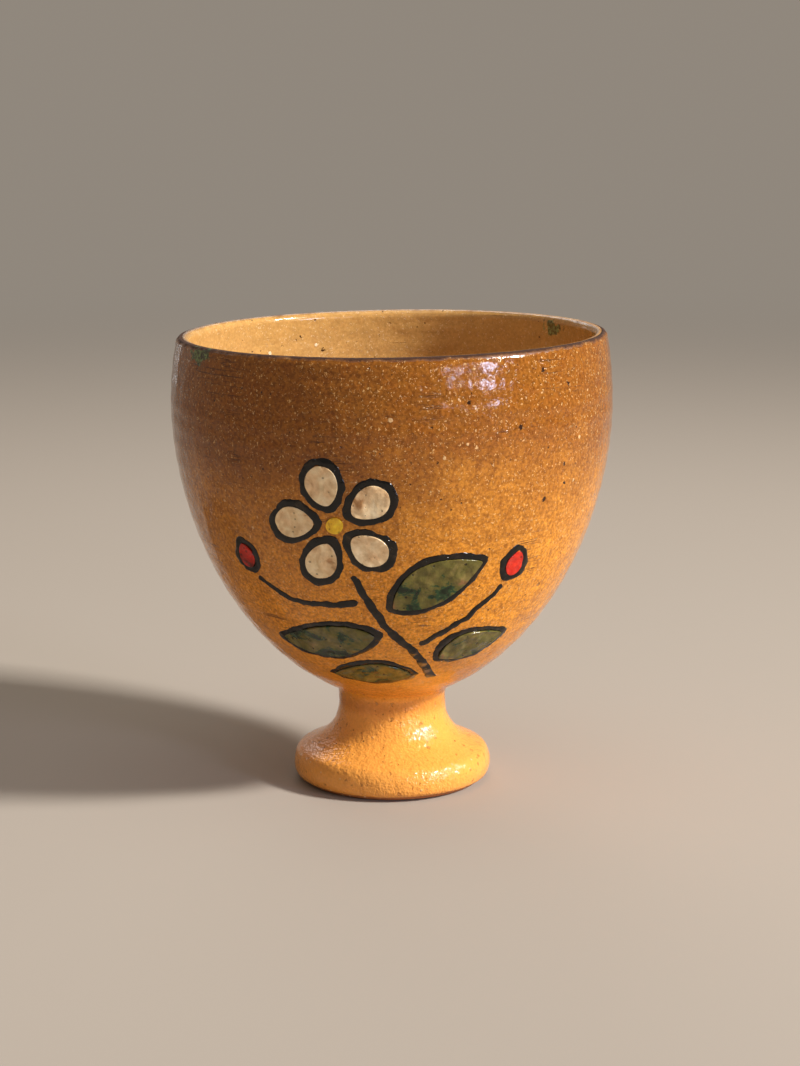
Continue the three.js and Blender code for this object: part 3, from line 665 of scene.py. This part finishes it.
# The sprig, drawn flat in mm: x round from the front, y up from the belly. Places on it are shares
# of the field. Twigs are (share of the stalk where they leave it, route, the bud's heading), and
# leaves are (that share, heading, scale, which way they bow). A motif's line is trailed at ridgeHalf
# to each side, and pressure is how much that changes along it.
drawing = {
    "field": 78.0, "lineWidth": 2.1, "tipReach": 1.5, "motifGap": 0.45, "ridgeHalf": 0.92, "pressure": 0.28,
    "stalkWidth": 2.3, "twigWidth": 1.7, "taper": 0.35, "endShare": 0.06,
    "leafLength": 24.0, "leafWidth": 11.0, "leafBow": 0.05,
    "petals": 5, "petalLength": 10.5, "petalWidth": 8.0, "flowerCentreRadius": 1.8,
    "budLength": 8.0, "budWidth": 5.2,
    "flowerAt": (-0.154, -0.256), "stalkArrives": -73.0,
    "stalkRoute": [(0.115, -0.846), (0.071, -0.718), (-0.013, -0.596)],
    "twigs": [(0.37, [(0.199, -0.577), (0.321, -0.462)], 62.0),
              (0.8, [(-0.256, -0.517), (-0.404, -0.449)], 118.0)],
    "leaves": [(0.7, 30.0, 1, 1), (0.52, 188.0, 1, 1), (0.22, 20.0, 0.78, 1), (0.08, 183.0, 0.78, -1)],
}
halfLine = drawing["lineWidth"] / 2
stalkSteps, twigSteps = 120, 90


def placed(shares):
    return Vector(shares) * drawing["field"]


def heading(degrees):
    return Vector((math.cos(math.radians(degrees)), math.sin(math.radians(degrees))))


def smoothPath(knots, count):
    # a Catmull-Rom curve through the knots, with the ends of three.js's SplineCurve, evenly spaced
    dense = []
    steps = 60
    for i in range(len(knots) - 1):
        a, b = knots[max(i - 1, 0)], knots[i]
        c, d = knots[i + 1], knots[min(i + 2, len(knots) - 1)]
        for k in range(steps + (i == len(knots) - 2)):
            t = k / steps
            v0, v1 = (c - a) / 2, (d - b) / 2
            dense.append((2 * b - 2 * c + v0 + v1) * t ** 3 + (-3 * b + 3 * c - 2 * v0 - v1) * t ** 2
                         + v0 * t + b)
    dense = [tuple(p) for p in dense]
    return [Vector(p) for p in evenly(dense, runs(dense)[-1] / count)]


class Motif:
    # a leaf, petal or bud; along and across run from -1 to 1, and widen is mm added on each side
    def __init__(self, centre, degrees, length, width, pointed, fullBase=0.0, bow=0.0):
        self.centre, self.degrees, self.length, self.width = centre, degrees, length, width
        self.pointed, self.fullBase, self.bow = pointed, fullBase, bow

    def at(self, along, across, widen=0.0):
        half = (self.width / 2 + widen) * max(0, 1 - along ** 2) ** ((1 + self.pointed) / 2)
        sideways = across * half * (1 - self.fullBase * along) + self.bow * (1 - along ** 2)
        ahead = heading(self.degrees)
        return self.centre + ahead * along * (self.length / 2 + widen * drawing["tipReach"]) \
            + Vector((-ahead.y, ahead.x)) * sideways

    def outline(self, count=140, spacing=0.4):
        turns = [2 * math.pi * i / count for i in range(count)]
        loop = [self.at(math.cos(a), math.copysign(1, math.sin(a))) for a in turns]
        return [Vector(p) for p in evenly([tuple(p) for p in loop + loop[:1]], spacing)[:-1]]


def growing(start, degrees, stalkHalf, length, width, **shape):
    reach = stalkHalf + drawing["motifGap"] + halfLine * drawing["tipReach"] + length / 2
    return Motif(start + heading(degrees) * reach, degrees, length, width, **shape)


flowerPlace = placed(drawing["flowerAt"])
petalReach = drawing["petalLength"] / 2 + halfLine * drawing["tipReach"]
petalOut = max((drawing["petalWidth"] + drawing["lineWidth"] + drawing["motifGap"]) / 2
               / math.sin(math.pi / drawing["petals"]),
               drawing["flowerCentreRadius"] + drawing["motifGap"] + petalReach)
petals = []
for i in range(drawing["petals"]):
    turn = drawing["stalkArrives"] + 360 * (i + 0.5) / drawing["petals"]
    petals.append(Motif(flowerPlace + heading(turn) * petalOut, turn, drawing["petalLength"],
                        drawing["petalWidth"], pointed=0.15, fullBase=-0.2))
stalkEnd = flowerPlace + heading(drawing["stalkArrives"]) * (petalOut + petalReach / 2)
stalk = smoothPath([placed(p) for p in drawing["stalkRoute"]] + [stalkEnd], stalkSteps)
leaves = []
for share, degrees, scale, bow in drawing["leaves"]:
    length = drawing["leafLength"] * scale
    leaves.append(growing(stalk[round(share * stalkSteps)], degrees, drawing["stalkWidth"] / 2, length,
                          drawing["leafWidth"] * scale, pointed=0.7, fullBase=0.22,
                          bow=bow * drawing["leafBow"] * length))
twigs, buds = [], []
for share, route, degrees in drawing["twigs"]:
    knots = [placed(p) for p in route]
    start = stalk[round(share * stalkSteps)]
    gap = drawing["stalkWidth"] / 2 + drawing["motifGap"] + drawing["twigWidth"] / 2
    twigs.append(smoothPath([start + (knots[0] - start).normalized() * gap] + knots, twigSteps))
    buds.append(growing(knots[-1], degrees, 0, drawing["budLength"], drawing["budWidth"],
                        pointed=0.35, fullBase=0.15))

# The wall that the drawing is wrapped on, from a little above the belly down to the fillet. The
# drawing fills the arc from the belly to the fillet.
aboveBelly = 8.0
wallDown = [(outside.radiusAt(bellyHeight + up), bellyHeight + up)
            for up in (aboveBelly * (1 - i / 12) for i in range(12))] + wall[wallSteps::-1]
wallDown = evenly(wallDown, spacings["wallDown"])
upTo = runs(wallDown[:1] + [p for p in wallDown if p[1] > bellyHeight])[-1]
drawingScale = (runs(wallDown)[-1] - upTo) / drawing["field"]
guide = newPiece("wallGuide", [(r * mm, 0, z * mm) for r, z in wallDown],
                 edges=[(i, i + 1) for i in range(len(wallDown) - 1)])

# A group that wraps a flat drawing on the bowl: x goes round, y up and z out of the glaze.
wallSockets = [("Wall", "Object"), ("Belly", "Float"), ("Glaze", "Float")]
wrapped, add, flat = newTree("ontoTheBowl", wallSockets)
wallCurve = add("GeometryNodeObjectInfo", {"Object": flat["Wall"]}).outputs["Geometry"]
wallCurve = add("GeometryNodeMeshToCurve", {0: wallCurve})
drawn = add("ShaderNodeSeparateXYZ", {0: add("GeometryNodeInputPosition")}).outputs
down = add("ShaderNodeMath", {0: flat["Belly"], 1: drawn["Y"]}, operation="SUBTRACT")
onWall = add("GeometryNodeSampleCurve", {"Curves": wallCurve, "Length": down},
             mode="LENGTH", use_all_curves=True).outputs
seatAt, runAt = [add("ShaderNodeSeparateXYZ", {0: onWall[name]}).outputs for name in ("Position", "Tangent")]
out = add("ShaderNodeMath", {0: drawn["Z"], 1: flat["Glaze"]}, operation="ADD")
inwards = add("ShaderNodeMath", {0: out, 1: runAt["Z"]}, operation="MULTIPLY")
reach = add("ShaderNodeMath", {0: seatAt["X"], 1: inwards}, operation="SUBTRACT")
upright = add("ShaderNodeMath", {0: out, 1: runAt["X"], 2: seatAt["Z"]}, operation="MULTIPLY_ADD")
bearing = add("ShaderNodeMath", {0: drawn["X"], 1: seatAt["X"]}, operation="DIVIDE")
place = roundTheCup(add, reach, bearing, upright)
moved = add("GeometryNodeSetPosition", {"Geometry": flat["Geometry"], "Position": place})
add("NodeGroupOutput", {0: moved})


def shaken(add, geometry, size, amount, seed, share):
    # every point moved by noise of this size, by half of this amount at most; share is per axis
    finer = add("ShaderNodeMath", {0: 1.0, 1: size}, operation="DIVIDE")
    field = add("ShaderNodeTexNoise", {"Scale": finer, "W": seed}, noise_dimensions="4D")
    field = add("ShaderNodeVectorMath", {0: field.outputs["Color"], 1: middle}, operation="SUBTRACT")
    field = add("ShaderNodeVectorMath", {0: field, 1: share}, operation="MULTIPLY")
    field = add("ShaderNodeVectorMath", {0: field, "Scale": amount}, operation="SCALE")
    return add("GeometryNodeSetPosition", {"Geometry": geometry, "Offset": field})


# A trailed line: a low dome swept along a path, ragged as the slip ran, then wrapped on the bowl.
trail = {"Rise": 0.78, "Sunk": 0.2, "Wander": 1.4 * mm, "Wander Size": 6.0 * mm, "Ragged": 1.0 * mm,
         "Ragged Size": 1.8 * mm, "Seed": 5.0}
trailed, add, given = newTree("trailedLine", [(label, "Float") for label in trail] + wallSockets
                              + [("Finish", "Material")])
path = add("GeometryNodeMeshToCurve", {0: given["Geometry"]})
path = shaken(add, path, given["Wander Size"], given["Wander"], given["Seed"], (1, 1, 0))
path = add("GeometryNodeSetCurveNormal", {0: path}, mode="Z_UP")
half = add("GeometryNodeInputNamedAttribute", {"Name": "half"}, data_type="FLOAT")
section = add("GeometryNodeCurvePrimitiveCircle", {"Resolution": 18, "Radius": 1.0})
at = add("ShaderNodeSeparateXYZ", {0: add("GeometryNodeInputPosition")}).outputs
above = add("ShaderNodeMath", {0: at["Y"], 1: 0.0}, operation="MAXIMUM")
above = add("ShaderNodeMath", {0: above, 1: given["Rise"]}, operation="MULTIPLY")
below = add("ShaderNodeMath", {0: at["Y"], 1: 0.0}, operation="MINIMUM")
domed = add("ShaderNodeMath", {0: below, 1: given["Sunk"], 2: above}, operation="MULTIPLY_ADD")
place = add("ShaderNodeCombineXYZ", {0: at["X"], 1: domed})
section = add("GeometryNodeSetPosition", {"Geometry": section, "Position": place})
swept = add("GeometryNodeCurveToMesh", {"Curve": path, "Profile Curve": section, "Scale": half,
                                        "Fill Caps": True})
swept = shaken(add, swept, given["Ragged Size"], given["Ragged"], given["Seed"], (1, 1, 0.4))
onto = add("GeometryNodeGroup", {"Geometry": swept, **{label: given[label] for label, _ in wallSockets}},
           node_tree=wrapped)
endTree(add, onto, given["Finish"])

# A pool of brushed glaze: a thin closed cushion, uneven on top, then wrapped on the bowl.
brush = {"Uneven": 0.85 * mm, "Uneven Size": 3.4 * mm, "Seed": 9.0}
pooled, add, given = newTree("brushedPool", [(label, "Float") for label in brush] + wallSockets
                             + [("Finish", "Material")])
cushion = add("GeometryNodeMergeByDistance", {"Geometry": given["Geometry"], "Distance": weld})
finer = add("ShaderNodeMath", {0: 1.0, 1: given["Uneven Size"]}, operation="DIVIDE")
field = add("ShaderNodeTexNoise", {"Scale": finer, "W": given["Seed"]}, noise_dimensions="4D")
field = add("ShaderNodeMath", {0: field, 1: 0.5}, operation="SUBTRACT")
top = add("GeometryNodeInputNamedAttribute", {"Name": "top"}, data_type="FLOAT")
for share in (top, given["Uneven"]):
    field = add("ShaderNodeMath", {0: field, 1: share}, operation="MULTIPLY")
lift = add("ShaderNodeCombineXYZ", {2: field})
cushion = add("GeometryNodeSetPosition", {"Geometry": cushion, "Offset": lift})
onto = add("GeometryNodeGroup", {"Geometry": cushion, **{label: given[label] for label, _ in wallSockets}},
           node_tree=wrapped)
endTree(add, onto, given["Finish"])

seatOn = {"Wall": guide, "Belly": upTo * mm, "Glaze": pot["glazeThickness"] * mm}
# points along and across, mm left free inside the line, share of its thickness that a pool is
# lower in the middle, and mm that it reaches into the glaze
pool = {"rows": 40, "columns": 22, "inset": halfLine * 0.55, "hollow": 0.25, "sunk": 0.2}


def trailLine(name, path, halves, closed, node):
    points = [(p.x * drawingScale * mm, p.y * drawingScale * mm, 0) for p in path]
    edges = [(i, i + 1) for i in range(len(points) - 1)]
    if closed:
        edges.append((len(points) - 1, 0))
    piece = newPiece(name, points, edges=edges, attributes={"half": [h * mm for h in halves]})
    grow(piece, trailed, {**trail, **seatOn, "Finish": brushed["darkLine"]})
    handIn(piece, node)


def openLine(name, path, width, node):
    # thinner towards its far end, and round at both
    along = runs([tuple(p) for p in path])
    halves = []
    for run in along:
        half = width / 2 * (1 - drawing["taper"] * run / along[-1])
        toEnd = min(run, along[-1] - run) / half
        halves.append(half * max(drawing["endShare"], math.sqrt(1 - (1 - min(toEnd, 1)) ** 2)))
    trailLine(name, path, halves, False, node)


def brushPool(name, motif, thickness, finish, node, inset=pool["inset"]):
    rows, columns = pool["rows"], pool["columns"]
    points, tops, faces = [], [], []
    for layer in (0, 1):
        for i in range(rows + 1):
            along = -math.cos(math.pi * i / rows)
            for j in range(columns + 1):
                across = math.sin(math.pi / 2 * (2 * j / columns - 1))
                p = motif.at(along, across, -inset) * drawingScale
                middleShare = (1 - along ** 2) * (1 - across ** 2)
                height = thickness * (1 - pool["hollow"] * middleShare) if layer == 0 else -pool["sunk"]
                points.append((p.x * mm, p.y * mm, height * mm))
                tops.append(1.0 if layer == 0 else 0.0)
    width, size = columns + 1, (rows + 1) * (columns + 1)
    for i in range(rows):
        for j in range(columns):
            a = i * width + j
            faces.append((a, a + width, a + width + 1, a + 1))
            faces.append((size + a, size + a + 1, size + a + width + 1, size + a + width))
        for j, turn in ((0, 1), (columns, -1)):
            a = i * width + j
            faces.append((a, size + a, size + a + width, a + width)[::turn])
    piece = newPiece(name, points, faces=faces, attributes={"top": tops})
    grow(piece, pooled, {**brush, **seatOn, "Finish": brushed[finish]})
    handIn(piece, node)


def uneven(count, seed, amount):
    # how the trailer's pressure changed along a line: a slow swell from three sines
    return [1 + amount * sum(part * math.sin(6.283 * i / count * waves + seed * turn)
                             for part, waves, turn in ((1, 2, 1), (0.6, 5, 2.3), (0.4, 9, 3.7))) / 2
            for i in range(count)]


for kind, motifs, finish, slot, thickness in (("leaf", leaves, "oliveGlaze", "olive_glaze", 0.42),
                                              ("petal", petals, "creamGlaze", "cream_glaze", 0.38),
                                              ("bud", buds, "redGlaze", "red_glaze", 0.40)):
    for i, motif in enumerate(motifs, 1):
        loop = motif.outline()
        swelling = uneven(len(loop), i * 1.7 + len(kind), drawing["pressure"])
        halves = [drawing["ridgeHalf"] * s for s in swelling]
        trailLine(f"{kind}Line{i}", loop, halves, True, f"{kind}_line_{i}")
        brushPool(f"{kind}Pool{i}", motif, thickness, finish, f"{kind}_glaze_{i}")
openLine("stalkLine", stalk, drawing["stalkWidth"], "stalk_line")
openLine("rightTwigLine", twigs[0], drawing["twigWidth"], "right_twig_line")
openLine("leftTwigLine", twigs[1], drawing["twigWidth"], "left_twig_line")
wide = 2 * drawing["flowerCentreRadius"]
brushPool("flowerCentre", Motif(flowerPlace, 0, wide, wide, pointed=0), 0.55, "yellowGlaze",
          "flower_centre", inset=0)
bpy.data.objects.remove(guide)
print("sprig trailed and brushed")

# The camera of the photograph: a long lens, a little above the cup. Distances are in mm.
view = {"lens": 77.0, "sensor": 36, "away": 493.2, "above": 157.1, "down": 11.66, "aside": 0.206}
camera = bpy.data.objects.new("camera", bpy.data.cameras.new("camera"))
camera.data.lens, camera.data.sensor_width = view["lens"], view["sensor"]
camera.location = (0, -view["away"] * mm, view["above"] * mm)
camera.rotation_euler = (math.radians(90 - view["down"]), 0, math.radians(-view["aside"]))
bpy.context.scene.collection.objects.link(camera)
bpy.context.scene.camera = camera

# A paper sweep, in metres: floor, bend and back. Far from the cup it is seen in the room's own even
# tone, so that no edge of it shows.
room = {"tint": "#FFF0DE", "strength": 0.28}
sweep = {"side": 3.0, "front": 3.0, "behind": 1.3, "bend": 0.5, "tall": 2.2, "colour": "#A69A8C",
         "roughness": 0.9, "farFrom": 0.3, "farBeyond": 1.1}
line = [(-sweep["front"], 0), (sweep["behind"], 0)]
line += [(sweep["behind"] + sweep["bend"] * math.sin(math.radians(a)),
          sweep["bend"] * (1 - math.cos(math.radians(a)))) for a in range(6, 91, 6)]
line += [(sweep["behind"] + sweep["bend"], sweep["tall"])]
floor = newPiece("floor", [(x, y, z) for y, z in line for x in (-sweep["side"], sweep["side"])],
                 faces=[(2 * i, 2 * i + 1, 2 * i + 3, 2 * i + 2) for i in range(len(line) - 1)])
floor.data.polygons.foreach_set("use_smooth", [True] * len(floor.data.polygons))
paper, add, place = newMaterial("mattPaper")
near = add("ShaderNodeBsdfPrincipled", {"Base Color": linearColour(sweep["colour"]),
                                        "Roughness": sweep["roughness"]})
away = add("ShaderNodeVectorMath", {0: place}, operation="LENGTH")
far = add("ShaderNodeMapRange", {0: away, 1: sweep["farFrom"], 2: sweep["farBeyond"]},
          interpolation_type="SMOOTHSTEP")
rays = add("ShaderNodeLightPath").outputs
seen = add("ShaderNodeMath", {0: rays["Is Camera Ray"], 1: rays["Is Glossy Ray"]}, operation="ADD")
seen = add("ShaderNodeMath", {0: seen, 1: rays["Is Transmission Ray"]}, operation="ADD", use_clamp=True)
far = add("ShaderNodeMath", {0: far, 1: seen}, operation="MULTIPLY")
tone = add("ShaderNodeEmission", {"Color": linearColour(room["tint"]), "Strength": room["strength"]})
shader = add("ShaderNodeMixShader", {0: far, 1: near, 2: tone})
add("ShaderNodeOutputMaterial", {0: shader})
floor.data.materials.append(paper)

# Soft studio light: a pale room, a hard lamp on the right, two window panes low beside it that the
# glaze mirrors, a narrow strip and a box behind, and a weak box above.
world = bpy.data.worlds.new("studio")
world.use_nodes = True
world.node_tree.nodes["Background"].inputs["Color"].default_value = linearColour(room["tint"])
world.node_tree.nodes["Background"].inputs["Strength"].default_value = room["strength"]
bpy.context.scene.world = world
# degrees round from the front and up, metres away, width, height, spread in degrees, watts, tint
lamps = {"keyBox": (72, 34, 2.5, 0.35, 0.3, 72, 15.2, "#FFFFFF"),
         "leftPane": (31, 13, 1.2, 0.09, 0.08, 180, 0.7, "#D4DEFF"),
         "rightPane": (50, 12, 1.2, 0.17, 0.20, 180, 4.0, "#D4DEFF"),
         "leftStrip": (-150, 3, 0.9, 0.03, 0.3, 180, 0.06, "#FFFFFF"),
         "backBox": (190, 32, 1.5, 0.8, 0.6, 80, 0.8, "#FFFFFF"),
         "topBox": (0, 86, 1.0, 0.6, 0.6, 180, 1.4, "#FFFFFF")}
lampAim = 0.05  # metres up the cup
for name, (turn, up, distance, width, height, spread, watts, tint) in lamps.items():
    lamp = bpy.data.lights.new(name, "AREA")
    lamp.color, lamp.spread = linearColour(tint)[:3], math.radians(spread)
    lamp.shape, lamp.size, lamp.size_y, lamp.energy = "RECTANGLE", width, height, watts
    holder = bpy.data.objects.new(name, lamp)
    across, aloft = math.radians(turn), math.radians(up)
    towards = Vector((math.sin(across) * math.cos(aloft), -math.cos(across) * math.cos(aloft),
                      math.sin(aloft)))
    holder.location = towards * distance + Vector((0, 0, lampAim))
    holder.rotation_euler = towards.to_track_quat("Z", "Y").to_euler()
    bpy.context.scene.collection.objects.link(holder)
bpy.context.scene.view_settings.view_transform = "Standard"

print("cup ready")
